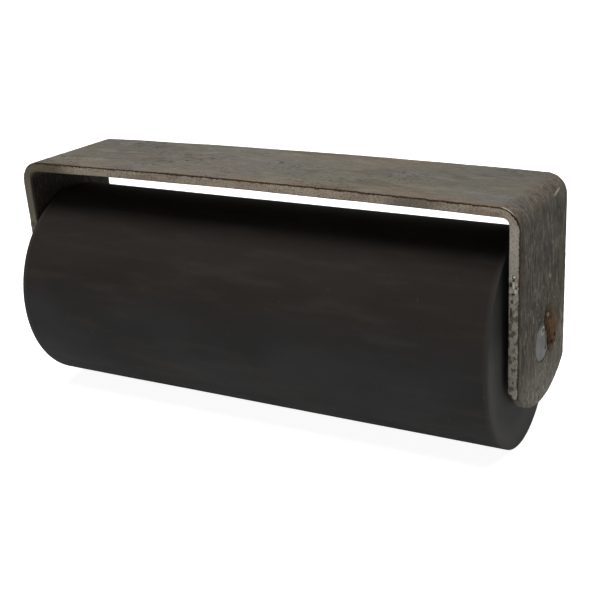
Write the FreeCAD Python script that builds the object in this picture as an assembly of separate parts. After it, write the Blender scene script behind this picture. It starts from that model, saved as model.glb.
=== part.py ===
"""Weld-on boat trailer roller: a roller on a pin between the ears of a bracket bent from flat bar.

Frame: millimetres, +Z up. The origin is the centre of the web's top face, which is the face that
gets welded to the trailer. X runs along the roller's axis, +Y points to the back.
"""
import FreeCAD, Part
import os
from math import cos, radians, sin

# Roller
roller_diameter = 101.6         # four inches over the tread
roller_edge_chamfer = 0.8       # the broken edge at both ends of the tread
running_clearance = 0.1         # radial gap between the pin and the roller's bore
left_end_gap = 1.3              # the roller has slid towards the left ear
right_end_gap = 3.9
bore_chamfer = 1.0              # lead-in at the mouths of the roller's bore

# Bracket, bent from flat bar
bracket_length = 266.7          # over the outside of both ears
bar_width = 63.5
bar_thickness = 4.7625
bar_edge_radius = 0.8           # rolled corners along the bar, and the dressed ends of the ears
bend_inside_radius = 3.175      # a tight bend, folded cold
bend_rounding = 1.5875          # the outside is this much rounder than inside radius plus thickness
web_gap = 15.5                  # daylight between the web and the top of the roller
ear_below_axle = 29.0           # lowest point of an ear, measured down from the axle
ear_corner_below_axle = 16.5    # where the straight sides of an ear turn into its rounded end

# Axle pin
pin_diameter = 19.05
pin_fit_clearance = 0.1         # radial gap between the pin and the ears' bores
pin_end_chamfer = 0.4

# Tack weld over the rim of the pin's end
weld_width = 14.5
weld_height = 2.2
weld_offset = 3.0               # how far the bead's centre line lies outside the pin's rim
weld_start_angle = -8.0         # measured from the back of the pin towards its top
weld_end_angle = 47.0

# Places that follow from the sizes above
ear_outside = bracket_length / 2
ear_inside = ear_outside - bar_thickness
axle_height = -(bar_thickness + web_gap + roller_diameter / 2)
roller_left = -ear_inside + left_end_gap
roller_right = ear_inside - right_end_gap
pin_radius = pin_diameter / 2
ear_corner = axle_height - ear_corner_below_axle
ear_bottom = axle_height - ear_below_axle
blank_bottom = ear_bottom - bar_thickness   # the bent blank is left long until its ends are cut

along_x = FreeCAD.Vector(1, 0, 0)
axle_centre = FreeCAD.Vector(0, 0, axle_height)


def rod_along_x(radius, start, end):
    """Round bar on the axle's line between two X positions."""
    base = FreeCAD.Vector(start, 0, axle_height)
    return Part.makeCylinder(radius, end - start, base, along_x)


def round_edges(shape):
    """The circular edges of a piece."""
    return [e for e in shape.Edges if isinstance(e.Curve, Part.Circle)]


def bend_corner(side, radius, centre_x, centre_z):
    """Quarter circle of a bend, from its high point down to its outermost point."""
    high = FreeCAD.Vector(side * centre_x, 0, centre_z + radius)
    middle = FreeCAD.Vector(
        side * (centre_x + radius * sin(radians(45))), 0, centre_z + radius * cos(radians(45))
    )
    out = FreeCAD.Vector(side * (centre_x + radius), 0, centre_z)
    return Part.Arc(high, middle, out).toShape()


def bar_profile():
    """Edge-on view of the bent blank: web, two bends and two straight ears, left long."""
    outside_radius = bend_inside_radius + bar_thickness + bend_rounding
    faces = ((outside_radius, ear_outside, 0), (bend_inside_radius, ear_inside, -bar_thickness))
    edges = []
    for radius, reach, top in faces:
        centre_x = reach - radius
        centre_z = top - radius
        for side in (-1, 1):
            edges.append(bend_corner(side, radius, centre_x, centre_z))
            ear_top = FreeCAD.Vector(side * reach, 0, centre_z)
            ear_end = FreeCAD.Vector(side * reach, 0, blank_bottom)
            edges.append(Part.makeLine(ear_top, ear_end))
        left = FreeCAD.Vector(-centre_x, 0, top)
        right = FreeCAD.Vector(centre_x, 0, top)
        edges.append(Part.makeLine(left, right))
    for side in (-1, 1):
        outer = FreeCAD.Vector(side * ear_outside, 0, blank_bottom)
        inner = FreeCAD.Vector(side * ear_inside, 0, blank_bottom)
        edges.append(Part.makeLine(outer, inner))
    wire = Part.Wire(Part.__sortEdges__(edges))
    return Part.Face(wire)


def ear_outline():
    """End-on view of the bracket: straight sides closed by one wide arc below the axle."""
    start = -bracket_length
    half = bar_width / 2
    above = bar_thickness
    top_back = FreeCAD.Vector(start, half, above)
    top_front = FreeCAD.Vector(start, -half, above)
    low_front = FreeCAD.Vector(start, -half, ear_corner)
    low_back = FreeCAD.Vector(start, half, ear_corner)
    lowest = FreeCAD.Vector(start, 0, ear_bottom)
    wire = Part.Wire([
        Part.makeLine(top_back, top_front),
        Part.makeLine(top_front, low_front),
        Part.Arc(low_front, lowest, low_back).toShape(),
        Part.makeLine(low_back, top_back),
    ])
    return Part.Face(wire).extrude(along_x * 2 * bracket_length)


def is_end_arc(edge):
    """True for the arcs that close the ears below the axle."""
    return isinstance(edge.Curve, Part.Circle) and abs(edge.Curve.Axis.x) > 0.9


def is_long_edge(edge):
    """True for the edges that run along the bar, in its front and back faces."""
    half = bar_width / 2
    in_side_face = all(abs(abs(v.Y) - half) < 1e-6 for v in edge.Vertexes)
    crosses_bar = edge.BoundBox.YLength > half
    closes_ear = all(abs(v.Z - ear_corner) < 1e-6 for v in edge.Vertexes)
    return in_side_face and not crosses_bar and not closes_ear


def bracket():
    """The bent bar, its ears rounded at the ends and bored for the pin, its edges rounded."""
    blank = bar_profile().extrude(FreeCAD.Vector(0, bar_width, 0))
    blank.translate(FreeCAD.Vector(0, -bar_width / 2, 0))
    body = blank.common(ear_outline()).Solids[0]
    soft_edges = [e for e in body.Edges if is_long_edge(e) or is_end_arc(e)]
    body = body.makeFillet(bar_edge_radius, soft_edges)
    bore = rod_along_x(pin_radius + pin_fit_clearance, -ear_outside, ear_outside)
    return body.cut(bore)


def roller():
    """One plain cylinder with broken rims and a straight bore with a lead-in at each mouth."""
    bore_radius = pin_radius + running_clearance
    tread = rod_along_x(roller_diameter / 2, roller_left, roller_right)
    tread = tread.makeChamfer(roller_edge_chamfer, round_edges(tread))
    tread = tread.cut(rod_along_x(bore_radius, roller_left, roller_right))
    for mouth, inward in ((roller_left, 1), (roller_right, -1)):
        cone = Part.makeCone(
            bore_radius + bore_chamfer, bore_radius, bore_chamfer,
            FreeCAD.Vector(mouth, 0, axle_height), along_x * inward,
        )
        tread = tread.cut(cone)
    return tread


def axle_pin():
    """Plain round pin, its ends flush with the outside of the ears."""
    pin = rod_along_x(pin_radius, -ear_outside, ear_outside)
    return pin.makeChamfer(pin_end_chamfer, round_edges(pin))


def weld(side):
    """Tack weld bead, flat where it lies on the ear and the pin, with rounded run-outs."""
    ball_radius = ((weld_width / 2) ** 2 + weld_height ** 2) / (2 * weld_height)
    bead_radius = pin_radius + weld_offset
    sunk = ball_radius - weld_height
    foot = ear_outside
    low = FreeCAD.Vector(foot, bead_radius - weld_width / 2, axle_height)
    high = FreeCAD.Vector(foot + weld_height, bead_radius, axle_height)
    far = FreeCAD.Vector(foot, bead_radius + weld_width / 2, axle_height)
    section = Part.Face(Part.Wire([Part.Arc(low, high, far).toShape(), Part.makeLine(far, low)]))
    section.rotate(axle_centre, along_x, weld_start_angle)
    bead = section.revolve(axle_centre, along_x, weld_end_angle - weld_start_angle)
    reach = bead_radius + weld_width
    proud = Part.makeCylinder(reach, weld_width, FreeCAD.Vector(foot, 0, axle_height), along_x)
    for angle in (weld_start_angle, weld_end_angle):
        centre = FreeCAD.Vector(
            foot - sunk,
            bead_radius * cos(radians(angle)),
            axle_height + bead_radius * sin(radians(angle)),
        )
        run_out = Part.makeSphere(ball_radius, centre).common(proud)
        bead = bead.fuse(run_out)
    bead = bead.removeSplitter()
    if side < 0:
        bead = bead.mirror(FreeCAD.Vector(0, 0, 0), along_x)
    return bead


def save(shape, name):
    """Check one piece and write its STEP file."""
    if not shape.isValid():
        raise ValueError(name + " is not a valid solid")
    shape.exportStep(os.path.join("parts", name + ".step"))
    print(name, "solids", len(shape.Solids), "volume", round(shape.Volume, 1))


os.makedirs("parts", exist_ok=True)
save(bracket(), "bracket")
save(roller(), "roller")
save(axle_pin(), "axle_pin")
save(weld(-1), "weld_left")
save(weld(1), "weld_right")
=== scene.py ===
import math

import bpy
import numpy as np
from mathutils import Matrix, Vector


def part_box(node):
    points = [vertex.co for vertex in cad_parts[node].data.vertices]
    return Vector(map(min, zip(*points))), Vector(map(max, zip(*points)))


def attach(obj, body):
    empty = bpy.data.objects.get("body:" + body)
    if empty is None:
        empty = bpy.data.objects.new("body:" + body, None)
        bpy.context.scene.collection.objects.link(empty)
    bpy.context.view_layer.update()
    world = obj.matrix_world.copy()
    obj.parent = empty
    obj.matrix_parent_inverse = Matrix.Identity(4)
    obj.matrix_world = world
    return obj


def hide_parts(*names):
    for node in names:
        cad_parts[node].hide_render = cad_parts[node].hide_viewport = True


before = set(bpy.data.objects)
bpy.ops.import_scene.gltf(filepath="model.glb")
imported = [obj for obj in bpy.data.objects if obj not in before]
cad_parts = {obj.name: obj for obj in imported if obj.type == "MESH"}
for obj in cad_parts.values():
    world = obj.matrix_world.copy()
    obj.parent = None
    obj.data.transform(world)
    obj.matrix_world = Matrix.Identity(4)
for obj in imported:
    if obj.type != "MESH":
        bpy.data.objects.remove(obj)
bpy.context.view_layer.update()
print("frame loaded")

mm = 0.001  # shapes are worked out in millimetres and stored in metres
bothEnds = 1000  # millimetres along X, so long that a spot of colour marks both ends of the part


def linear(hexColour):
    # sRGB hex to the linear RGBA that a shader socket takes
    srgb = np.array([int(hexColour[i:i + 2], 16) for i in (1, 3, 5)]) / 255
    rgb = np.where(srgb <= 0.04045, srgb / 12.92, ((srgb + 0.055) / 1.055) ** 2.4)
    return (*rgb, 1.0)


def addNode(tree, kind, inputs=None, **settings):
    # One node with its settings; an input is either a value or the socket that feeds it
    made = tree.nodes.new(kind)
    for name, value in settings.items():
        setattr(made, name, value)
    for name, value in (inputs or {}).items():
        if isinstance(value, bpy.types.NodeSocket):
            tree.links.new(value, made.inputs[name])
        else:
            made.inputs[name].default_value = value
    return made


def newMaterial(name):
    material = bpy.data.materials.new(name)
    material.use_nodes = True
    material.node_tree.nodes.clear()
    return material, material.node_tree


def patchMask(tree, place, size, low, high, stretch=(1, 1, 1), detail=3.0, shift=0.0):
    # 0 to 1 in soft patches about size millimetres across, longer along an axis where stretch is
    # above 1; the noise turns from 0 to 1 between low and high
    moved = addNode(tree, "ShaderNodeMapping", {
        "Vector": place, "Location": (shift, shift, shift), "Scale": [1 / s for s in stretch]})
    noise = addNode(tree, "ShaderNodeTexNoise", {
        "Vector": moved.outputs[0], "Scale": 1 / (size * mm), "Detail": detail})
    return addNode(tree, "ShaderNodeMapRange", {
        "Value": noise.outputs["Fac"], "From Min": low, "From Max": high},
        interpolation_type="SMOOTHSTEP").outputs[0]


def spotMask(tree, place, centre, size, turn=0.0, fade=0.5):
    # 1 inside an ellipsoid of that centre and size in millimetres, turned about Z, fading to 0 at
    # its rim
    local = addNode(tree, "ShaderNodeMapping", {
        "Vector": place, "Location": [c * mm for c in centre], "Rotation": (0, 0, math.radians(turn)),
        "Scale": [s / 2 * mm for s in size]}, vector_type="TEXTURE")
    reach = addNode(tree, "ShaderNodeVectorMath", {0: local.outputs[0]}, operation="LENGTH")
    return addNode(tree, "ShaderNodeMapRange", {
        "Value": reach.outputs["Value"], "From Min": 1.0, "From Max": 1.0 - fade},
        interpolation_type="SMOOTHSTEP").outputs[0]


def paintLayers(tree, base, layers):
    # Lays each colour over the ones before it, as far as its strength and its masks let it
    colour = linear(base)
    for tone, strength, *masks in layers:
        share = strength
        for mask in masks:
            share = addNode(tree, "ShaderNodeMath", {0: mask, 1: share},
                            operation="MULTIPLY").outputs[0]
        colour = addNode(tree, "ShaderNodeMix", {0: share, 6: colour, 7: linear(tone)},
                         data_type="RGBA").outputs[2]
    return colour


def addUp(tree, start, layers):
    # The start value plus each mask times its own amount
    total = start
    for amount, mask in layers:
        total = addNode(tree, "ShaderNodeMath", {0: mask, 1: amount, 2: total},
                        operation="MULTIPLY_ADD").outputs[0]
    return total


def finishMaterial(tree, colour, roughness, height, **fixed):
    # height is the fine relief in millimetres; fixed holds further sockets, with _ for a space
    bump = addNode(tree, "ShaderNodeBump", {"Height": height, "Distance": mm})
    shader = addNode(tree, "ShaderNodeBsdfPrincipled", {
        "Base Color": colour, "Roughness": roughness, "Normal": bump.outputs[0],
        **{name.replace("_", " "): value for name, value in fixed.items()}})
    addNode(tree, "ShaderNodeOutputMaterial", {"Surface": shader.outputs[0]})


def smoothStep(low, high, value):
    share = np.clip((value - low) / (high - low), 0, 1)
    return share * share * (3 - 2 * share)


def valueNoise(points, cell, seed):
    # Random numbers from -1 to 1 on a cubic lattice with that cell, blended smoothly in between;
    # three primes spread the lattice's corners over the table
    table = np.random.default_rng(seed).uniform(-1, 1, 4093)
    scaled = points / cell
    low = np.floor(scaled).astype(np.int64)
    part = scaled - low
    part = part ** 3 * (part * (part * 6 - 15) + 10)
    total = np.zeros(points.shape[:-1])
    for corner in np.ndindex(2, 2, 2):
        key = (low + corner) @ np.array([7919, 104729, 1299709])
        weight = np.prod(np.where(corner, part, 1 - part), axis=-1)
        total += table[key % len(table)] * weight
    return total


def gridFaces(rows, columns, loop):
    # Quads between neighbouring rows and columns; the columns close on themselves, and so do the
    # rows of a loop
    row = np.arange(rows if loop else rows - 1)[:, None]
    column = np.arange(columns)[None, :]
    below, after = (row + 1) % rows, (column + 1) % columns
    corners = (row * columns + column, row * columns + after,
               below * columns + after, below * columns + column)
    return np.stack(corners, axis=-1).reshape(-1, 4)


def meshFromGrids(name, grids, loop=False):
    # Each grid holds rows by columns by xyz in millimetres and becomes one closed shell of the
    # piece; poles are merged to one vertex
    allPoints, allFaces, start = [], [], 0
    for points in grids:
        faces = gridFaces(*points.shape[:2], loop)
        flat = points.reshape(-1, 3)
        corner = flat[faces]
        facing = np.cross(corner[:, 2] - corner[:, 0], corner[:, 3] - corner[:, 1])
        if np.sum(facing * (corner.mean(axis=1) - flat.mean(axis=0))) < 0:  # turn the faces outwards
            faces = faces[:, ::-1]
        allPoints.append(flat)
        allFaces.append(faces + start)
        start += len(flat)
    mesh = bpy.data.meshes.new(name)
    mesh.from_pydata((np.concatenate(allPoints) * mm).tolist(), [], np.concatenate(allFaces).tolist())
    piece = bpy.data.objects.new(name, mesh)
    bpy.context.scene.collection.objects.link(piece)
    modifier = piece.modifiers.new("weld", "WELD")
    modifier.merge_threshold = 1e-6  # metres
    applyModifiers(piece)
    return piece


def applyModifiers(piece):
    graph = bpy.context.evaluated_depsgraph_get()
    mesh = bpy.data.meshes.new_from_object(piece.evaluated_get(graph))
    old = piece.data
    piece.modifiers.clear()
    piece.data = mesh
    bpy.data.meshes.remove(old)


def readVectors(mesh, layer, key):
    # One vector for each vertex
    flat = np.zeros(len(mesh.vertices) * 3)
    layer.foreach_get(key, flat)
    return flat.reshape(-1, 3)


def writeAttributes(mesh, **named):
    # Values or vectors for each vertex, to be read by the material
    for name, values in named.items():
        kind, key = ("FLOAT", "value") if values.ndim == 1 else ("FLOAT_VECTOR", "vector")
        layer = mesh.attributes.new(name, kind, "POINT")
        layer.data.foreach_set(key, values.astype(np.float32).ravel())


def pointGrid(x, y, z):
    # The points of a surface; each of x, y and z is a full grid, one row for all or one column
    return np.stack(np.broadcast_arrays(x, y, z), axis=-1)


def revolve(x, radius, segments):
    # A profile given by x and radius, turned about the axle
    turn = np.linspace(0, 2 * math.pi, segments, endpoint=False)
    x, radius = np.asarray(x)[:, None], np.asarray(radius)[:, None]
    return pointGrid(x, radius * np.cos(turn), axleZ + radius * np.sin(turn))


def placePiece(piece, body, node, material, crisp):
    # Edges sharper than the crisp angle stay hard in the smooth shading
    piece.data.shade_smooth()
    piece.data.set_sharp_from_angle(angle=math.radians(crisp))
    piece.data.materials.clear()
    piece.data.materials.append(material)
    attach(piece, body)
    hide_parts(node)
    print(piece.name, "made,", len(piece.data.polygons), "faces")


barLow, barHigh = (np.array(corner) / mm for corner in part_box("bracket"))
rollerLow, rollerHigh = (np.array(corner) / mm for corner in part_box("roller"))
pinLow, pinHigh = (np.array(corner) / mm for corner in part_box("axle_pin"))
weldLow, weldHigh = (np.array(corner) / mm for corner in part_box("weld_right"))
axleZ = (pinLow[2] + pinHigh[2]) / 2
pinRadius = (pinHigh[1] - pinLow[1]) / 2

camera = {  # fitted to the straight edges in the photo
    "azimuth": 30.15, "elevation": 19.35, "roll": -2.68,  # degrees
    "distance": 601.3, "aim": (17.94, -16.67, -61.10),  # millimetres
    "lens": 75.05,
}


def makeCamera(c):
    data = bpy.data.cameras.new("camera")
    data.lens = c["lens"]
    data.sensor_width = 36
    data.clip_end = 20  # metres
    made = bpy.data.objects.new("camera", data)
    bpy.context.scene.collection.objects.link(made)
    azimuth, elevation = math.radians(c["azimuth"]), math.radians(c["elevation"])
    back = Vector((math.sin(azimuth) * math.cos(elevation),
                   -math.cos(azimuth) * math.cos(elevation), math.sin(elevation)))
    made.location = (Vector(c["aim"]) + back * c["distance"]) * mm
    turn = (-back).to_track_quat("-Z", "Y").to_matrix()
    turn = turn @ Matrix.Rotation(math.radians(c["roll"]), 3, "Z")
    made.rotation_euler = turn.to_euler()
    bpy.context.scene.camera = made


makeCamera(camera)
print("camera placed")

studio = {
    "world": 0.02,  # light from all round, kept low for the deep shadow above the roller
    "paper": "#f2f4f5",
    "reach": 3000,  # from the middle of the paper to its edges, in millimetres
    "paperBelow": 0.1,  # how far it lies below the roller
    "paperGlow": 0.35,  # as on a light table
    "paperDimmer": 0.08, "dimmedWithin": 2400,  # less of it round the object, for its shadow
    "paperSeen": 0.65, "paperReflected": 0.2,  # more glow for the camera and for a gloss
    "lamps": [  # name, place and size in millimetres, power in watts
        ("topSoftbox", (-150, -200, 1000), 800, 9.6),
        ("frontSoftbox", (-350, -1250, 100), 800, 1.5),
        ("sideSoftbox", (750, 1050, 600), 500, 5.0),
        ("backSoftbox", (-500, 1100, 500), 800, 0.8),
    ],
}


def glowFor(tree, start, seen, reflected):
    # A strength for each way that a ray meets the white: the start value for plain light, with
    # seen added for the camera and reflected added for a gloss or for something clear
    path = addNode(tree, "ShaderNodeLightPath").outputs
    return addUp(tree, start, [(seen, path["Is Camera Ray"]), (reflected, path["Is Glossy Ray"]),
                               (reflected, path["Is Transmission Ray"])])


def paperMaterial(s):
    # Seamless white paper: its own glow and the light on it add up to white, and where the object
    # keeps that light away a faint shadow is left; clear from below, so that a low view sees the
    # underside
    material, tree = newMaterial("whitePaper")
    space = addNode(tree, "ShaderNodeTexCoord").outputs["Object"]
    near = spotMask(tree, space, (0, 0, rollerLow[2]), [s["dimmedWithin"]] * 3)
    glow = glowFor(tree, s["paperGlow"], s["paperSeen"], s["paperReflected"])
    glow = addUp(tree, glow, [(-s["paperDimmer"], near)])
    paper = addNode(tree, "ShaderNodeBsdfDiffuse", {"Color": linear(s["paper"])})
    light = addNode(tree, "ShaderNodeEmission", {"Strength": glow})
    both = addNode(tree, "ShaderNodeAddShader", {0: paper.outputs[0], 1: light.outputs[0]})
    below = addNode(tree, "ShaderNodeNewGeometry").outputs["Backfacing"]
    clear = addNode(tree, "ShaderNodeBsdfTransparent")
    sheet = addNode(tree, "ShaderNodeMixShader", {0: below, 1: both.outputs[0], 2: clear.outputs[0]})
    addNode(tree, "ShaderNodeOutputMaterial", {"Surface": sheet.outputs[0]})
    return material


def makeStudio(s):
    reach, level = s["reach"], rollerLow[2] - s["paperBelow"]
    corners = [(-reach, -reach), (reach, -reach), (reach, reach), (-reach, reach)]
    mesh = bpy.data.meshes.new("floor")
    mesh.from_pydata([(x * mm, y * mm, level * mm) for x, y in corners], [], [(0, 1, 2, 3)])
    floor = bpy.data.objects.new("floor", mesh)
    bpy.context.scene.collection.objects.link(floor)
    mesh.materials.append(paperMaterial(s))
    world = bpy.data.worlds.new("studio")
    world.use_nodes = True
    tree = world.node_tree
    tree.nodes.clear()
    white = 1 - s["world"]
    sky = addNode(tree, "ShaderNodeBackground", {
        "Color": (1, 1, 1, 1), "Strength": glowFor(tree, s["world"], white, white)})
    addNode(tree, "ShaderNodeOutputWorld", {"Surface": sky.outputs[0]})
    bpy.context.scene.world = world
    for name, place, size, power in s["lamps"]:
        light = bpy.data.lights.new(name, "AREA")
        light.shape = "DISK"
        light.size = size * mm
        light.energy = power
        lamp = bpy.data.objects.new(name, light)
        bpy.context.scene.collection.objects.link(lamp)
        lamp.location = Vector(place) * mm
        aim = Vector((0, 0, axleZ)) - Vector(place)
        lamp.rotation_euler = aim.to_track_quat("-Z", "Y").to_euler()
    bpy.context.scene.view_settings.view_transform = "Standard"


makeStudio(studio)
print("studio lit")

bar = {
    "thickness": 4.7625, "insideBend": 3.175, "outsideBend": 9.525, "edgeRadius": 0.8,
    "cornerBelowAxle": 16.5,  # where an ear's straight sides end
    "boreClearance": 0.1, "boreSegments": 96,
    "step": 0.9, "bendRows": 16,  # size of a grid cell, and rows round a bend
    "crown": 1.3,  # the web's ends lie this much lower than its middle
    "twist": 0.6,  # its back edge rises this much to the right and falls as much to the left
    "bow": 1.45,  # the left ear stands out this much at its bend
    "cornerGround": (1.4, 2.0),  # the ears' front corners are ground away this much, and more inside
    "lapAt": 0.1, "lapWidth": 0.55, "lapDepth": 0.22,  # the lap left by the rolls along an edge
    "earLapShift": 0.6,  # on the ears it lies this much further over the outer face
    "lipHighlightAngles": (3, 12, 34, 52),  # where the lap's lip gets a painted highlight in a bend, in degrees
    # height or depth of each unevenness, and its spacing
    "waves": (0.10, 38), "streaks": (0.05, 2.2), "pebbles": (0.04, 1.9), "pits": (0.12, 1.4),
    "sideGrain": (0.05, 1.9), "hammerMarks": (0.16, 1.5),
    "hammered": (153, 158, 168, 175),  # stretch of an ear's narrow faces that took the hammer
    "seatRing": (1, 6),  # unevenness sets in over this ring round the pin, so the bore stays true
    "scale": "#6d685d",
    "dings": [  # marks on the right ear's front edge: place along the bar, depth below its outer
        # face, length and width, tone, and how far they stand out
        (155.6, 2.2, 3.8, 3.6, "#bdb8a8", 0.1), (155.6, 2.2, 2.9, 2.7, "#48433a", -0.2),
        (155.5, 2.1, 1.5, 1.4, "#f0ecdf", 0.3), (157.2, 2.4, 1.3, 1.5, "#221e17", -0.3),
        (159.5, 2.4, 3.8, 1.3, "#d6d1c0", 0.3), (159.3, 3.6, 2.8, 1.3, "#221e17", -0.3),
        (158.9, 1.0, 1.7, 1.4, "#c4bfae", 0.2), (162.3, 1.5, 2.0, 1.6, "#d6d1c0", 0.3),
        (160.6, 1.2, 1.2, 1.2, "#221e17", -0.3), (163.6, 2.6, 1.4, 1.8, "#332e25", -0.2),
        (167.2, 3.0, 2.2, 1.3, "#1b1711", -0.3), (171.8, 3.4, 5.0, 1.3, "#332e25", -0.2),
    ],
}


def barSection(b):
    # Rounded rectangle walked once round: across the outer face, down the back edge, back along
    # the inner face and up the front edge; returns y and the offset from mid-thickness
    half, thick, soft = barHigh[1], b["thickness"] / 2, b["edgeRadius"]
    flat = np.linspace(-(half - soft), half - soft, int(2 * half / b["step"]))
    corner = np.radians([22.5, 45, 67.5])
    cornerY = half - soft + soft * np.sin(corner)
    cornerOffset = thick - soft + soft * np.cos(corner)
    downSide = [1, 0.84, 0.68, 0.49, 0.25]  # closer together near the corners
    side = np.array(downSide + [0] + [-share for share in downSide[::-1]]) * (thick - soft)
    y = np.concatenate([flat, cornerY, np.full(len(side), half), cornerY[::-1]])
    offset = np.concatenate([np.full(len(flat), thick), cornerOffset, side, -cornerOffset[::-1]])
    return np.concatenate([y, -y]), np.concatenate([offset, -offset])


def earEnd(b, y):
    # Height of an ear's cut end: one arc through both corners and the lowest point
    half, low = barHigh[1], barLow[2]
    rise = axleZ - b["cornerBelowAxle"] - low
    radius = (half ** 2 + rise ** 2) / (2 * rise)
    return low + radius - np.sqrt(radius ** 2 - y ** 2)


def barGrid(b):
    # The section carried along the bent bar: rows run from the web's middle over the bend and down
    # the ear, whose last rows round off and close its end. Each point of the section has its own
    # bend, whose radius and reach go from the outer face's to the inner face's with the depth.
    # The left half mirrors the right.
    y, offset = barSection(b)
    thick, soft = b["thickness"] / 2, b["edgeRadius"]
    depth = thick - offset
    reach = barHigh[0] - depth
    radius = b["outsideBend"] + (b["insideBend"] - b["outsideBend"]) * depth / b["thickness"]
    bendX, bendZ = reach - radius, -depth - radius
    share = np.linspace(0, 1, int(barHigh[0] / b["step"]))[:, None]
    web = pointGrid(bendX * share, y, -depth)
    turn = np.linspace(0, math.pi / 2, b["bendRows"] + 2)[1:-1, None]
    bend = pointGrid(bendX + radius * np.sin(turn), y, bendZ + radius * np.cos(turn))
    atFront = smoothStep(barLow[1] * 0.6, barLow[1], y)
    ground = b["cornerGround"][0] + b["cornerGround"][1] * depth / b["thickness"]
    lowest = earEnd(b, y) + atFront * ground
    share = np.linspace(0, 1, int(-barLow[2] / b["step"]))[:, None]
    leg = pointGrid(reach, y, bendZ + share * (lowest + soft - bendZ))
    curl = np.radians([22.5, 45, 67.5, 90])  # the last rows curl in and then close the flat end
    inset = np.concatenate([soft * (1 - np.sin(curl)), np.zeros(4)])[:, None]
    squeeze = np.concatenate([1 - soft / thick * (1 - np.cos(curl)), [0.5, 0.33, 0.16, 0]])[:, None]
    cap = pointGrid(barHigh[0] - thick + offset * squeeze, y, lowest + inset)
    right = np.concatenate([web, bend, leg, cap])
    left = right[:0:-1] * [-1, 1, 1]
    return np.concatenate([left, right])


def placeAlongBar(b, points):
    # Each point's place in the bar before it was bent: length along it, distance across it and
    # depth below its outer face; and how far round the bend the point is
    outer = b["outsideBend"]
    middle = outer - b["thickness"] / 2
    bendX, bendZ = barHigh[0] - outer, -outer
    past = np.maximum(np.abs(points[:, 0]) - bendX, 0)
    above = np.maximum(points[:, 2] - bendZ, 0)
    angle = np.arctan2(past, above)
    down = np.maximum(bendZ - points[:, 2], 0)
    along = np.minimum(np.abs(points[:, 0]), bendX) + middle * angle + down
    depth = outer - np.hypot(past, above)
    return np.stack([np.sign(points[:, 0]) * along, points[:, 1], depth], axis=1), angle


def cutBore(piece, b):
    # The pin's bore, drilled through both ears
    reach, radius = barHigh[0] * 1.2, pinRadius + b["boreClearance"]
    drill = meshFromGrids("drill", [
        revolve([-reach, -reach, reach, reach], [0, radius, radius, 0], b["boreSegments"])])
    cut = piece.modifiers.new("bore", "BOOLEAN")
    cut.object = drill
    cut.operation = "DIFFERENCE"
    cut.solver = "EXACT"
    applyModifiers(piece)
    bpy.data.objects.remove(drill)


def barMarks(b, place, angle):
    # What rolling, bending and hammering left, from each point's place in the unbent bar: masks for
    # the material, and how far the surface stands out in millimetres
    along, across, depth = place.T
    turned = np.degrees(angle)
    fromEdge = barHigh[1] - np.abs(across)
    nearEdge = smoothStep(1.7, 0.8, fromEdge)
    sideFace = smoothStep(0.8, 0.3, fromEdge)
    walk = depth - np.minimum(fromEdge, 1.5)  # way over the outer corner and down the side face
    walk += b["earLapShift"] * smoothStep(40, 90, turned)
    lap = np.exp(-((walk - b["lapAt"]) / b["lapWidth"]) ** 2) * nearEdge
    start, full, last, end = b["lipHighlightAngles"]
    # the stretch of the bends where the lap's lip gets a painted highlight
    lipHighlightArc = smoothStep(start, full, turned) * smoothStep(end, last, turned) * nearEdge
    start, full, last, end = b["hammered"]
    hammered = smoothStep(start, full, np.abs(along)) * smoothStep(end, last, np.abs(along)) * sideFace
    lumps = valueNoise(place + 7, b["hammerMarks"][1], 19)
    bumps, hollows = hammered * smoothStep(0.0, 0.6, lumps), hammered * smoothStep(0.1, -0.4, lumps)
    clusters = smoothStep(-0.2, 0.6, valueNoise(place, 22, 14))
    pits = smoothStep(0.45, 0.8, valueNoise(place, b["pits"][1], 13)) * clusters
    relief = b["waves"][0] * valueNoise(place, b["waves"][1], 15)
    relief += b["streaks"][0] * valueNoise(place * [0.15, 1, 1], b["streaks"][1], 16)
    relief += b["pebbles"][0] * valueNoise(place, b["pebbles"][1], 17) - b["pits"][0] * pits
    relief += sideFace * (b["sideGrain"][0] * valueNoise(place, b["sideGrain"][1], 18) - 0.02)
    relief += b["hammerMarks"][0] * bumps
    relief -= b["lapDepth"] * lap * (0.8 + 0.3 * valueNoise(place, 2.5, 12))
    return {"walk": walk, "nearEdge": nearEdge, "lipHighlightArc": lipHighlightArc, "pits": pits, "bumps": bumps,
            "hollows": hollows, "bend": np.sin(2 * angle)}, relief


def bendOutOfTrue(b, points):
    # The web sags to a parabola towards its ends and twists in proportion to its length, and the
    # left ear bows out near its bend; each fades out down the ears
    toEnd = points[:, 0] / barHigh[0]
    toBack = 0.5 + 0.5 * points[:, 1] / barHigh[1]
    sag = b["twist"] * toEnd * toBack - b["crown"] * toEnd ** 2
    bow = b["bow"] * smoothStep(-38, -10, points[:, 2]) * np.maximum(-toEnd, 0) ** 3
    points[:, 2] += sag * smoothStep(-60, -12, points[:, 2])
    points[:, 0] -= bow


def makeBracket(b):
    # The bent bar, bored, with its marks raised and sunk along the normals
    piece = meshFromGrids("bentBar", [barGrid(b)])
    cutBore(piece, b)
    mesh = piece.data
    points = readVectors(mesh, mesh.vertices, "co") / mm
    normals = readVectors(mesh, mesh.vertex_normals, "vector")
    place, angle = placeAlongBar(b, points)
    marks, relief = barMarks(b, place, angle)
    near, far = pinRadius + np.array(b["seatRing"])
    seat = smoothStep(near, far, np.hypot(points[:, 1], points[:, 2] - axleZ))
    onEar = np.abs(points[:, 0]) > barHigh[0] * 0.9
    points += normals * (relief * np.where(onEar, seat, 1))[:, None]
    bendOutOfTrue(b, points)
    mesh.vertices.foreach_set("co", (points * mm).ravel())
    writeAttributes(mesh, barPlace=place * mm, **marks)
    return piece


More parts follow.
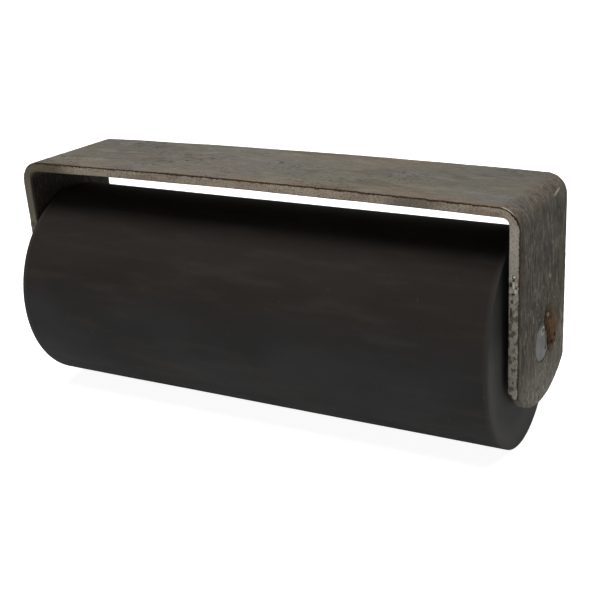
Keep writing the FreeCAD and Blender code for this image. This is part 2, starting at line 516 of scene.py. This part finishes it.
def bandMask(tree, value, centre, half, fade):
    # 1 where the value lies within half of the centre, fading to 0 over a further fade
    away = addNode(tree, "ShaderNodeMath", {0: value, 1: centre}, operation="SUBTRACT").outputs[0]
    away = addNode(tree, "ShaderNodeMath", {0: away}, operation="ABSOLUTE").outputs[0]
    return addNode(tree, "ShaderNodeMapRange", {
        "Value": away, "From Min": half + fade, "From Max": half},
        interpolation_type="SMOOTHSTEP").outputs[0]


def hotRolledSteel(b):
    # Flat bar as it leaves the mill: a dull grey-brown oxide skin in olive, grey and brown patches,
    # streaked along the rolling direction and pitted, more mottled where it was bent down, with a dark
    # lap along its edges, and paler on the narrow faces and at its cut ends. Painted shade darkens the
    # ears, the inner faces and the left ear's narrow faces; the lap's lip in the bends has a painted
    # highlight, and scratches on the ears have painted glints
    material, tree = newMaterial("hotRolledSteelMillScale")
    bent = addNode(tree, "ShaderNodeAttribute", attribute_name="barPlace").outputs["Vector"]
    space = addNode(tree, "ShaderNodeTexCoord").outputs["Object"]
    walk, nearEdge, lipHighlightArc, pits, bumps, hollows, bend = (
        addNode(tree, "ShaderNodeAttribute", attribute_name=name).outputs["Fac"]
        for name in ("walk", "nearEdge", "lipHighlightArc", "pits", "bumps", "hollows", "bend"))
    axes = addNode(tree, "ShaderNodeSeparateXYZ", {0: space}).outputs
    depth = addNode(tree, "ShaderNodeSeparateXYZ", {0: bent}).outputs["Z"]
    ear, leftEarShade, innerFaceShade = (  # 0 at the first place and 1 at the second, in millimetres
        addNode(tree, "ShaderNodeMapRange", {
            "Value": value, "From Min": low * mm, "From Max": high * mm}).outputs[0]
        for value, low, high in ((axes["Z"], -5, -12), (axes["X"], -98, -112), (depth, 4.2, 4.7)))
    ragged = addUp(tree, walk, [
        (0.5, patchMask(tree, bent, 0.9, 0.2, 0.8, detail=1, shift=1.1)),
        (0.4, patchMask(tree, bent, 4.0, 0.3, 0.7, detail=1, shift=1.2))])
    lap = bandMask(tree, ragged, b["lapAt"] + 0.45, 0.42, 0.4)
    side = addNode(tree, "ShaderNodeMapRange", {
        "Value": ragged, "From Min": b["lapAt"] + 0.8, "From Max": b["lapAt"] + 1.2}).outputs[0]
    # the band of the lip, for its painted highlight
    lip = bandMask(tree, walk, b["lapAt"] - 0.75, 0.15, 0.3)
    lightStreaks = patchMask(tree, bent, 0.8, 0.52, 0.66, (9, 1, 1))
    darkStreaks = patchMask(tree, bent, 1.1, 0.52, 0.66, (6, 1, 1), shift=0.3)
    grain = patchMask(tree, bent, 0.5, 0.45, 0.65, shift=0.5)
    flakes = patchMask(tree, bent, 3.0, 0.52, 0.60, (1.6, 1, 1), 4, 0.7)
    specks = patchMask(tree, bent, 0.8, 0.6, 0.68, detail=2, shift=0.9)
    scratchGlints = patchMask(tree, bent, 1.9, 0.64, 0.72, (2.5, 1, 1), 2, 1.3)
    frontBand = spotMask(tree, bent, (20, barLow[1], 0), (280, 26, 4), fade=0.8)
    blotches = patchMask(tree, bent, 4.5, 0.54, 0.64, (1.8, 1, 1), 5, 1.4)
    earTip = spotMask(tree, space, (0, 0, barLow[2] - 2), (bothEnds, 110, 76), fade=0.8)
    aroundWeld = spotMask(tree, space, (0, 12.5, axleZ + 4.5), (bothEnds, 23, 25), fade=0.45)
    cornerRust = spotMask(tree, bent, (152, barLow[1] + 3.5, 0), (46, 8, 40), fade=0.6)
    scratch = spotMask(tree, bent, (131.8, 18.8, 0), (1.0, 13.5, 3), 7, 0.6)
    dings = [(tone, out, spotMask(tree, bent, (along, barLow[1], below), (length, 4, width), fade=0.35))
             for along, below, length, width, tone, out in b["dings"]]
    webFront = spotMask(tree, bent, (84, barLow[1], 3), (34, 6, 12), fade=0.7)
    webFrontPale = spotMask(tree, bent, (28, barLow[1], 3), (96, 6, 12), fade=0.7)
    earFront = spotMask(tree, bent, (210, barLow[1], 2.4), (116, 8, 30), fade=0.4)
    colour = paintLayers(tree, b["scale"], [
        # the skin of the whole bar
        ("#676557", 0.6, patchMask(tree, bent, 30, 0.47, 0.60, (2, 1, 1), 3)),
        ("#6c6864", 0.6, patchMask(tree, bent, 22, 0.50, 0.62, (2, 1, 1), 3, 0.1)),
        ("#746554", 0.6, patchMask(tree, bent, 18, 0.48, 0.62, (3, 1, 1), 3, 0.2)),
        ("#8a857a", 0.4, lightStreaks),
        ("#4a463f", 0.45, darkStreaks),
        ("#3a3631", 0.4, grain),
        ("#8f897d", 0.45, patchMask(tree, bent, 0.9, 0.6, 0.68, detail=1, shift=1.8)),
        # browner along the web's front, darker towards its ends, and mottled all over
        ("#7d6a54", 0.6, frontBand, patchMask(tree, bent, 12, 0.35, 0.55, (4, 1, 1), 3, 2.2)),
        ("#666668", 0.25, patchMask(tree, bent, 26, 0.5, 0.62, (2, 1, 1), 3, 2.1)),
        ("#524f45", 0.4, spotMask(tree, bent, (-100, 12, 0), (110, 70, 20), fade=0.7)),
        ("#524f45", 0.3, spotMask(tree, bent, (105, 12, 0), (120, 70, 20), fade=0.7)),
        ("#4f4a40", 0.45, patchMask(tree, bent, 11, 0.53, 0.64, (2.5, 1, 1), 4, 2.6)),
        ("#827c70", 0.35, patchMask(tree, bent, 9, 0.55, 0.66, (3, 1, 1), 4, 2.8)),
        # the bends, and the ears below them, which painted shade darkens
        ("#655d52", 0.6, bend),
        # painted shade: the ears are darker all over than the web
        ("#3d372f", 0.8, ear),
        ("#2b2722", 0.75, ear, patchMask(tree, bent, 9, 0.45, 0.62, (1.6, 1, 1), 4, 1.6)),
        ("#6a6358", 0.7, ear, patchMask(tree, bent, 1.8, 0.5, 0.62, (3.5, 1, 1), 3, 1.7)),
        ("#211c17", 0.7, ear, patchMask(tree, bent, 1.5, 0.5, 0.62, (3.5, 1, 1), 3, 2.4)),
        ("#5d5749", 0.4, ear, patchMask(tree, bent, 0.9, 0.5, 0.62, (1.5, 1, 1), 2, 1.9)),
        ("#45452f", 0.4, spotMask(tree, space, (0, 27, axleZ + 25), (bothEnds, 24, 90), fade=0.7)),
        # pale scratches on the ears, with painted glints
        ("#8f8776", 0.6, ear, scratchGlints),
        ("#211d18", 0.6, ear, blotches),
        ("#8f8475", 0.75, spotMask(tree, space, (0, 27.5, axleZ - 2), (bothEnds, 14, 46), fade=0.9),
         patchMask(tree, bent, 2.6, 0.36, 0.56, (2.5, 1, 1), 4, 3.5)),
        ("#5a4c3f", 0.5, bend, flakes),
        ("#352e25", 0.6, bend, patchMask(tree, bent, 2.4, 0.54, 0.64, detail=4, shift=3.0)),
        ("#8c8577", 0.5, bend, patchMask(tree, bent, 2.0, 0.56, 0.66, detail=4, shift=3.1)),
        ("#857f74", 0.7, earTip),
        ("#4b463d", 0.6, earTip, patchMask(tree, bent, 2.6, 0.52, 0.62, (1.5, 1, 1), 4, 3.2)),
        ("#a8a196", 0.5, earTip, patchMask(tree, bent, 1.6, 0.55, 0.65, (1.5, 1, 1), 3, 3.3)),
        ("#35302a", 0.7, pits),  # all over the bar
        # the narrow faces
        ("#a59a88", 0.9, side, nearEdge),
        ("#84685a", 0.5, side, nearEdge, patchMask(tree, bent, 5, 0.45, 0.6, (3, 1, 1), 3, 0.4)),
        ("#5a4f45", 0.6, side, nearEdge, webFront),
        ("#b5a894", 0.45, side, nearEdge, webFrontPale),
        ("#5d574e", 0.5, side, nearEdge, grain),
        ("#3d382f", 0.6, side, nearEdge, specks),
        ("#b0aaa0", 0.8, side, nearEdge, ear),
        ("#5d574e", 0.4, side, nearEdge, ear, grain),
        ("#39342b", 0.7, side, nearEdge, earFront,
         patchMask(tree, bent, 2.0, 0.50, 0.60, (1.8, 1, 1), 3, 3.4)),
        # painted shade on the left ear's narrow faces
        ("#464030", 0.75, leftEarShade, nearEdge),
        ("#c0bba9", 0.45, bumps),
        ("#38332a", 0.55, hollows),
        *[(tone, 0.85, mask) for tone, _, mask in dings],
        # rust, stains round the weld, painted shade on the inner faces, and what the rolls and a sharp
        # edge left, with a painted highlight on the lap's lip
        ("#30261c", 0.8, cornerRust),
        ("#5b4331", 0.5, cornerRust, flakes),
        ("#4a3826", 0.85, aroundWeld, patchMask(tree, space, 4, 0.3, 0.5, shift=0.9)),
        ("#4b432c", 0.5, spotMask(tree, space, (0, 11.5, axleZ - 10.5), (bothEnds, 9, 18), fade=0.6)),
        ("#47472a", 0.5, spotMask(tree, space, (0, 12, axleZ + 15.5), (bothEnds, 18, 13), fade=0.7)),
        # painted shade on the inner faces, under the web and inside the ears
        ("#221f1b", 0.7, innerFaceShade),
        ("#b0a99c", 0.8, scratch),
        ("#34261a", 1.0, lap, nearEdge),
        # painted highlight along the lap's lip in the bends
        ("#cfc7b8", 0.9, lip, lipHighlightArc),
    ])
    roughness = addUp(tree, 0.72, [(-0.1, lightStreaks), (0.1, grain), (-0.15, lipHighlightArc)])
    height = addUp(tree, 0.0, [(0.08, lightStreaks), (-0.10, darkStreaks), (-0.07, grain), (0.07, flakes)]
                   + [(out, mask) for _, out, mask in dings])
    finishMaterial(tree, colour, roughness, height, Metallic=0.15, Specular_IOR_Level=0.1)
    return material


placePiece(makeBracket(bar), "mount_frame", "bracket", hotRolledSteel(bar), 50)

tread = {
    "rimRadius": 0.6, "boreClearance": 0.1, "boreLeadIn": 1.0,
    "step": 2.4, "segments": 256,
    "leftCut": (0.4, 0.0, -1.25),  # how far along X each sawn end is moved: all of it, more at its
    "rightCut": (-0.8, -3.1, -1.15),  # back and less at its front, more at its top and less below
    "cutReach": 40,  # from an end to where it isn't felt any more
    "waves": [(0.05, 42), (0.02, 9)],  # height and spacing of the tread's unevenness
    "black": "#332f2c",
}


def treadProfile(r):
    # Half section of the roller walked once round: tread, right rim and end face, lead-in, bore,
    # and back over the left end; returns x and radius
    left, right, outer = rollerLow[0], rollerHigh[0], (rollerHigh[2] - rollerLow[2]) / 2
    soft, bore, lead = r["rimRadius"], pinRadius + r["boreClearance"], r["boreLeadIn"]
    curl = np.radians(np.linspace(0, 90, 6))
    flatX = np.linspace(left + soft, right - soft, int((right - left) / r["step"]))[1:-1]
    rimX, rimRadius = soft * np.sin(curl), outer - soft + soft * np.cos(curl)
    endRadius = np.linspace(outer - soft, bore + lead, 16)[1:]
    boreX = np.linspace(right - lead, left + lead, 12)
    x = np.concatenate([flatX, right - soft + rimX, np.full(len(endRadius), right), boreX,
                        np.full(len(endRadius), left), left + soft - rimX[::-1]])
    radius = np.concatenate([np.full(len(flatX), outer), rimRadius, endRadius, np.full(len(boreX), bore),
                             endRadius[::-1], rimRadius[::-1]])
    return x, radius


def makeRoller(r):
    # The profile revolved, its tread made a little uneven, its ends slanted by how each was sawn
    x, radius = treadProfile(r)
    points = revolve(x, radius, r["segments"])
    outer = (rollerHigh[2] - rollerLow[2]) / 2
    onTread = smoothStep(outer - 6, outer, radius)[:, None]
    wave = sum(height * valueNoise(points, spacing, 31 + i)
               for i, (height, spacing) in enumerate(r["waves"]))
    scale = 1 + onTread * wave / outer
    points[..., 1] *= scale
    points[..., 2] = axleZ + (points[..., 2] - axleZ) * scale
    piece = meshFromGrids("cylinderRoller", [points], loop=True)
    place = readVectors(piece.data, piece.data.vertices, "co") / mm
    out = np.hypot(place[:, 1], place[:, 2] - axleZ)
    middle = (rollerLow[0] + rollerHigh[0]) / 2
    fromEnd = (rollerHigh[0] - rollerLow[0]) / 2 - np.abs(place[:, 0] - middle)
    run = np.where(fromEnd < 0.3, outer - out, fromEnd)  # distance in from the rim, on either side of it
    endFace = smoothStep(0.5, 0.1, fromEnd)
    rim = np.exp(-((fromEnd + outer - out - 0.35) / 0.5) ** 2)
    turned = np.stack([run, place[:, 1], place[:, 2] - axleZ], axis=1)
    writeAttributes(piece.data, turned=turned * mm, endFace=endFace, rim=rim)
    for end, cut in ((-1, r["leftCut"]), (1, r["rightCut"])):
        slant = cut[0] + cut[1] * place[:, 1] / outer + cut[2] * (place[:, 2] - axleZ) / outer
        place[:, 0] += slant * smoothStep(r["cutReach"], 0, fromEnd) * ((place[:, 0] - middle) * end > 0)
    piece.data.vertices.foreach_set("co", (place * mm).ravel())
    return piece


def blackPolyethylene(r):
    # Black polyethylene rod, turned and sawn to length: dull and nearly even, warmer above and with
    # painted light from the floor making it paler and cooler below, smeared along its length, with faint
    # hoops from the tool, paler sawn ends whose lower part has the same painted light, a painted
    # highlight along the rims, and a few specks of dust
    material, tree = newMaterial("blackPolyethyleneTurned")
    space = addNode(tree, "ShaderNodeTexCoord").outputs["Object"]
    turned = addNode(tree, "ShaderNodeAttribute", attribute_name="turned").outputs["Vector"]
    endFace, rim = (addNode(tree, "ShaderNodeAttribute", attribute_name=name).outputs["Fac"]
                    for name in ("endFace", "rim"))
    upright = addNode(tree, "ShaderNodeSeparateXYZ", {0: turned}).outputs["Z"]
    hoops = patchMask(tree, turned, 0.9, 0.4, 0.7, (1, 40, 40), 2)
    clouds = patchMask(tree, space, 45, 0.35, 0.65, (2, 1, 1), 2)
    smears = patchMask(tree, space, 7, 0.45, 0.75, (5, 1, 1), 3, 0.2)
    # the lower part of the roller, where light from the floor is painted in
    lower = addNode(tree, "ShaderNodeMapRange", {
        "Value": upright, "From Min": 20 * mm, "From Max": 0},
        interpolation_type="SMOOTHSTEP").outputs[0]
    dust = patchMask(tree, space, 1.5, 0.83, 0.88, detail=0.0, shift=0.4)
    colour = paintLayers(tree, r["black"], [
        # painted light from the floor on the tread's lower part
        ("#3a3a3b", 0.9, lower),
        ("#292623", 0.5, clouds),
        ("#413e3a", 0.4, smears),
        ("#444342", 0.85, endFace),
        # painted light from the floor on the lower part of the sawn ends
        ("#555453", 0.85, endFace, lower),
        # painted highlight along the rims
        ("#4a4744", 0.6, rim),
        ("#5a564f", 0.35, dust),
    ])
    roughness = addUp(tree, 0.82, [(0.06, clouds), (0.04, smears), (0.05, hoops)])
    height = addUp(tree, 0.0, [(0.010, hoops), (0.015, patchMask(tree, space, 1.6, 0.4, 0.6, shift=0.8))])
    finishMaterial(tree, colour, roughness, height, Specular_IOR_Level=0.03)
    return material


placePiece(makeRoller(tread), "roller", "roller", blackPolyethylene(tread), 40)

pin = {
    "endChamfer": 0.4, "rings": 26, "segments": 160, "barrelStep": 6.0,
    "ridges": [(0.05, 0.8), (0.04, 2.4)],  # height and spacing of the saw marks
    "ridgesSunk": 0.08,  # so that they stay within the pin's length
    "sawTurn": (0.94, 0.34),  # cosine and sine of the angle at which they cross the end
    "sawStretch": 0.12,  # how fast they change along their own length, as against across it
    "dentPlace": (0.6, 5.1), "dentRadius": 1.1, "dentDepth": 0.4,
    "steel": "#575453",
}


def makePin(p):
    # Round bar with sawn ends: radius against x from the middle of one end to that of the other;
    # saw ridges and one small crater press the end faces in
    bevel = p["endChamfer"]
    faceRadius = np.linspace(0, pinRadius - bevel, p["rings"])
    half = np.concatenate([faceRadius, [pinRadius - bevel / 2]])
    halfX = np.concatenate([np.full(p["rings"], pinHigh[0]), [pinHigh[0] - bevel / 2]])
    barrel = np.linspace(pinHigh[0] - bevel, pinLow[0] + bevel, int(2 * pinHigh[0] / p["barrelStep"]))
    x = np.concatenate([halfX, barrel, -halfX[::-1]])
    radius = np.concatenate([half, np.full(len(barrel), pinRadius), half[::-1]])
    points = revolve(x, radius, p["segments"])
    y, z = points[..., 1], points[..., 2] - axleZ
    level, slope = p["sawTurn"]
    sawn = pointGrid(points[..., 0], level * y + slope * z, p["sawStretch"] * (level * z - slope * y))
    ridges = sum(height * valueNoise(sawn, spacing, 41 + i)
                 for i, (height, spacing) in enumerate(p["ridges"]))
    away = np.hypot(y - p["dentPlace"][0], z - p["dentPlace"][1]) / p["dentRadius"]
    dent = p["dentDepth"] * (0.35 * np.exp(-((away - 1.35) / 0.35) ** 2) - np.exp(-away ** 4))
    onEnd = (np.abs(points[..., 0]) > pinHigh[0] - bevel * 0.9) & (np.hypot(y, z) < pinRadius - bevel)
    points[..., 0] += np.sign(points[..., 0]) * onEnd * (ridges - p["ridgesSunk"] + dent)
    piece = meshFromGrids("axlePin", [points])
    place = readVectors(piece.data, piece.data.vertices, "co") / mm
    away = np.hypot(place[:, 1] - p["dentPlace"][0], place[:, 2] - axleZ - p["dentPlace"][1])
    out = np.hypot(place[:, 1], place[:, 2] - axleZ)
    writeAttributes(piece.data, dent=np.exp(-(away / p["dentRadius"]) ** 4),
                    dentRim=np.exp(-((away / p["dentRadius"] - 1.5) / 0.4) ** 2),
                    rim=np.exp(-((out - pinRadius + 0.4) / 0.5) ** 2))
    return piece


def coldDrawnSteel(p):
    # Cold-drawn bar with sawn ends: brighter than the mill scale, a cool grey with saw lines, a
    # greenish film where the cutting oil has dried, a darker rim, brown scale beside the weld, painted
    # shade for a pit where the weld meets the pin, and a burnt upper edge; the crater is dark with a
    # pale rim
    material, tree = newMaterial("coldDrawnSteelSawn")
    space = addNode(tree, "ShaderNodeTexCoord").outputs["Object"]
    dent, dentRim, rim = (addNode(tree, "ShaderNodeAttribute", attribute_name=name).outputs["Fac"]
                          for name in ("dent", "dentRim", "rim"))
    sawLines = patchMask(tree, space, 0.5, 0.42, 0.62, (1, 1, 9), 2)
    film = spotMask(tree, space, (0, 4, axleZ - 7), (bothEnds, 11, 16), 0, 0.9)
    filmTop = spotMask(tree, space, (0, -1, axleZ + 4.5), (bothEnds, 12, 6), 0, 0.8)
    bright = spotMask(tree, space, (0, -5, axleZ - 3), (bothEnds, 7, 15), 0, 0.8)
    weldScale = spotMask(tree, space, (0, 6.0, axleZ + 3.5), (bothEnds, 8.0, 14), 0, 0.3)
    creviceShade = spotMask(tree, space, (0, 4.9, axleZ - 2.8), (bothEnds, 3.2, 4.0))
    upright = addNode(tree, "ShaderNodeSeparateXYZ", {0: space}).outputs["Z"]
    burnt = addNode(tree, "ShaderNodeMapRange", {
        "Value": upright, "From Min": (axleZ + 6.3) * mm, "From Max": (axleZ + 7.2) * mm}).outputs[0]
    colour = paintLayers(tree, p["steel"], [
        ("#6a6665", 0.7, bright),
        ("#474442", 0.5, sawLines),
        ("#5f6f6b", 0.9, film),
        ("#616a5c", 0.8, filmTop),
        ("#5c4a3e", 0.4, patchMask(tree, space, 3, 0.58, 0.68, shift=0.3)),
        ("#423e39", 0.7, rim),
        ("#3c2c20", 0.9, weldScale),
        # painted shade of a pit where the weld meets the pin
        ("#17110d", 0.9, creviceShade),
        ("#2b231c", 0.95, burnt),
        ("#a4a39b", 0.8, dentRim),
        ("#23211d", 0.9, dent),
    ])
    roughness = addUp(tree, 0.58, [(0.12, sawLines), (0.1, rim)])
    height = addUp(tree, 0.0, [(0.04, sawLines)])
    finishMaterial(tree, colour, roughness, height, Metallic=0.3)
    return material


placePiece(makePin(pin), "mount_frame", "axle_pin", coldDrawnSteel(pin), 30)

tack = {
    "width": 14.5, "offset": 3.0, "startAngle": -8.0, "endAngle": 47.0,  # as the part has it
    "rows": 110, "columns": 56, "footColumns": 8,
    "fullness": 0.78,  # height of the bead's smooth form, as a share of the part's
    "sunk": 0.35, "settled": 0.12,  # its foot goes this deep, and all of it lies this much lower
    "edgeWaves": [(0.16, 3.1), (0.08, 1.3)],  # share of its half width, and spacing
    "ripple": 0.10, "rippleEvery": 1.9, "rippleBow": 2.6,  # and how far it trails at the edges
    "lumps": [(0.28, 2.4), (0.14, 0.9)],  # height and spacing
    "hollows": [(5.9, -2.6, 1.7), (10.2, -3.4, 1.1), (13.5, -0.6, 1.0)],  # from the axle, and radius
    "hollowDepth": 0.85,  # share of the bead's height that a hollow takes away
    "spatterHeight": 0.6,  # of a bead of spatter, as a share of its radius
    "spatter": [  # beads of spatter: place from the axle, radius, and how far out they sit
        (4.3, 11.7, 1.0, 0.6), (15.3, -6.3, 0.9, 0.4), (4.6, -4.7, 0.8, 0.1), (-5.2, 12.1, 0.5, 0.0),
        (14.8, 16.5, 0.45, 0.0), (-8.0, 20.5, 0.4, 0.0), (22.5, 12.0, 0.4, 0.0),
    ],
    "oxide": "#54412c",
}


def weldBead(w, side, seed):
    # A dome carried round an arc about the pin: rows follow the arc and its round run-outs, columns
    # go over the dome and back under its flat foot; ripples and lumps are added to the height, and
    # the hollows are pressed in; its two edges wander each in their own way
    height, path, half = weldHigh[0] - weldLow[0], pinRadius + w["offset"], w["width"] / 2
    start, end = math.radians(w["startAngle"]), math.radians(w["endAngle"])
    straight = path * (end - start) / 2
    run = np.sin(np.linspace(-math.pi / 2, math.pi / 2, w["rows"])) * (straight + half)
    fade = np.clip((np.abs(run) - straight) / half, 0, 1)
    narrow = np.sqrt(1 - fade ** 2)[:, None]
    under = np.linspace(1, -1, w["footColumns"] + 2)[1:-1]
    across = np.concatenate([np.linspace(-1, 1, w["columns"]), under])
    foot = np.arange(len(across)) >= w["columns"]
    edges = pointGrid(run[:, None], 9 * np.sign(across), 0.0)  # far enough apart to differ
    edge = narrow * (1 + sum(share * valueNoise(edges, spacing, seed + i)
                             for i, (share, spacing) in enumerate(w["edgeWaves"])))
    dome = 1 - across ** 2
    angle = (start + end) / 2 + run[:, None] / path
    reach = path + half * edge * across
    flat = pointGrid(0.0, reach * np.cos(angle), reach * np.sin(angle))
    bowed = run[:, None] + w["rippleBow"] * across ** 2
    rough = w["ripple"] * np.cos(2 * math.pi * bowed / w["rippleEvery"])
    rough += sum(lump * valueNoise(flat, spacing, seed + 3 + i)
                 for i, (lump, spacing) in enumerate(w["lumps"]))
    rise = height * narrow ** 2 * dome * (w["fullness"] + 0.1 * valueNoise(flat, 4.2, seed + 2))
    rise += dome * narrow * rough
    for y, z, radius in w["hollows"]:
        away = (flat[..., 1] - y) ** 2 + (flat[..., 2] - z) ** 2
        rise *= 1 - w["hollowDepth"] * np.exp(-away / radius ** 2)
    x = np.where(foot, -w["sunk"] * narrow, np.maximum(rise, -w["sunk"]))
    x = np.where(narrow < 1e-3, 0, x) - w["settled"]  # the grid's first and last rows close to a point
    return pointGrid(side * (weldLow[0] + x), flat[..., 1], axleZ + flat[..., 2])


def spatterBeads(w, side):
    # Squashed balls thrown round the weld, their lower part in what they lie on
    up = np.linspace(-math.pi / 2, math.pi / 2, 9)[:, None]
    turn = np.linspace(0, 2 * math.pi, 16, endpoint=False)
    height = w["spatterHeight"] * np.sin(up)
    ball = pointGrid(height, np.cos(up) * np.cos(turn), np.cos(up) * np.sin(turn))
    return [ball * radius * [side, 1, 1] + [side * (weldLow[0] + lift), y, axleZ + z]
            for y, z, radius, lift in w["spatter"]]


def makeWeld(w, name, side, seed):
    # Bead and spatter in one mesh; its masks tell the height, the hollows, the spatter and the
    # part beside the pin
    piece = meshFromGrids(name, [weldBead(w, side, seed)] + spatterBeads(w, side))
    place = readVectors(piece.data, piece.data.vertices, "co") / mm
    rise = (np.abs(place[:, 0]) - weldLow[0]) / (weldHigh[0] - weldLow[0])
    spatter, hollow = np.zeros(len(place)), np.zeros(len(place))
    for y, z, radius, _ in w["spatter"]:
        away = np.hypot(place[:, 1] - y, place[:, 2] - axleZ - z)
        spatter = np.maximum(spatter, smoothStep(1.15, 0.95, away / radius))
    for y, z, radius in w["hollows"]:
        away = np.hypot(place[:, 1] - y, place[:, 2] - axleZ - z)
        hollow = np.maximum(hollow, smoothStep(1.3, 0.5, away / radius))
    inner = smoothStep(10.5, 7.8, np.hypot(place[:, 1], place[:, 2] - axleZ))
    writeAttributes(piece.data, rise=rise, spatter=spatter, hollow=hollow, inner=inner)
    return piece


def rustedWeld(w):
    # A short tack weld left unpainted: a brown oxide skin rusting orange in patches, olive at its
    # top, greyer at its lower end and darker beside the pin, black in its hollows and along its
    # toes, with pale beads of spatter
    material, tree = newMaterial("rustedWeldMetal")
    space = addNode(tree, "ShaderNodeTexCoord").outputs["Object"]
    rise, spatter, hollow, inner = (
        addNode(tree, "ShaderNodeAttribute", attribute_name=name).outputs["Fac"]
        for name in ("rise", "spatter", "hollow", "inner"))
    upright = addNode(tree, "ShaderNodeSeparateXYZ", {0: space}).outputs["Z"]
    top, bottom = (  # 0 at the first height over the axle and 1 at the second
        addNode(tree, "ShaderNodeMapRange", {
            "Value": upright, "From Min": (axleZ + low) * mm, "From Max": (axleZ + high) * mm}).outputs[0]
        for low, high in ((9, 12.5), (-3, -7)))
    toe = addNode(tree, "ShaderNodeMapRange", {
        "Value": rise, "From Min": 0.16, "From Max": -0.02}).outputs[0]
    colour = paintLayers(tree, w["oxide"], [
        ("#73481f", 0.85, patchMask(tree, space, 5.5, 0.40, 0.56)),
        ("#33231a", 0.8, patchMask(tree, space, 3.2, 0.5, 0.62, shift=0.2)),
        ("#544b3a", 0.5, patchMask(tree, space, 6.5, 0.5, 0.6, shift=0.4)),
        ("#7d6650", 0.5, patchMask(tree, space, 1.4, 0.58, 0.7, shift=0.6)),
        ("#3b2819", 0.75, inner),
        ("#413d2c", 0.85, top),
        ("#4b453b", 0.75, bottom),
        ("#1a120d", 0.85, toe),
        ("#120b08", 0.95, hollow),
        ("#91857a", 0.9, spatter),
    ])
    grain = patchMask(tree, space, 0.6, 0.4, 0.65, shift=0.8)
    roughness = addUp(tree, 0.78, [(0.12, grain)])
    height = addUp(tree, 0.0, [(0.12, grain)])
    finishMaterial(tree, colour, roughness, height, Metallic=0.1, Specular_IOR_Level=0.15)
    return material


rusted = rustedWeld(tack)
for name, side, seed, node in (
        ("tackWeldRight", 1, 51, "weld_right"), ("tackWeldLeft", -1, 71, "weld_left")):
    placePiece(makeWeld(tack, name, side, seed), "mount_frame", node, rusted, 60)
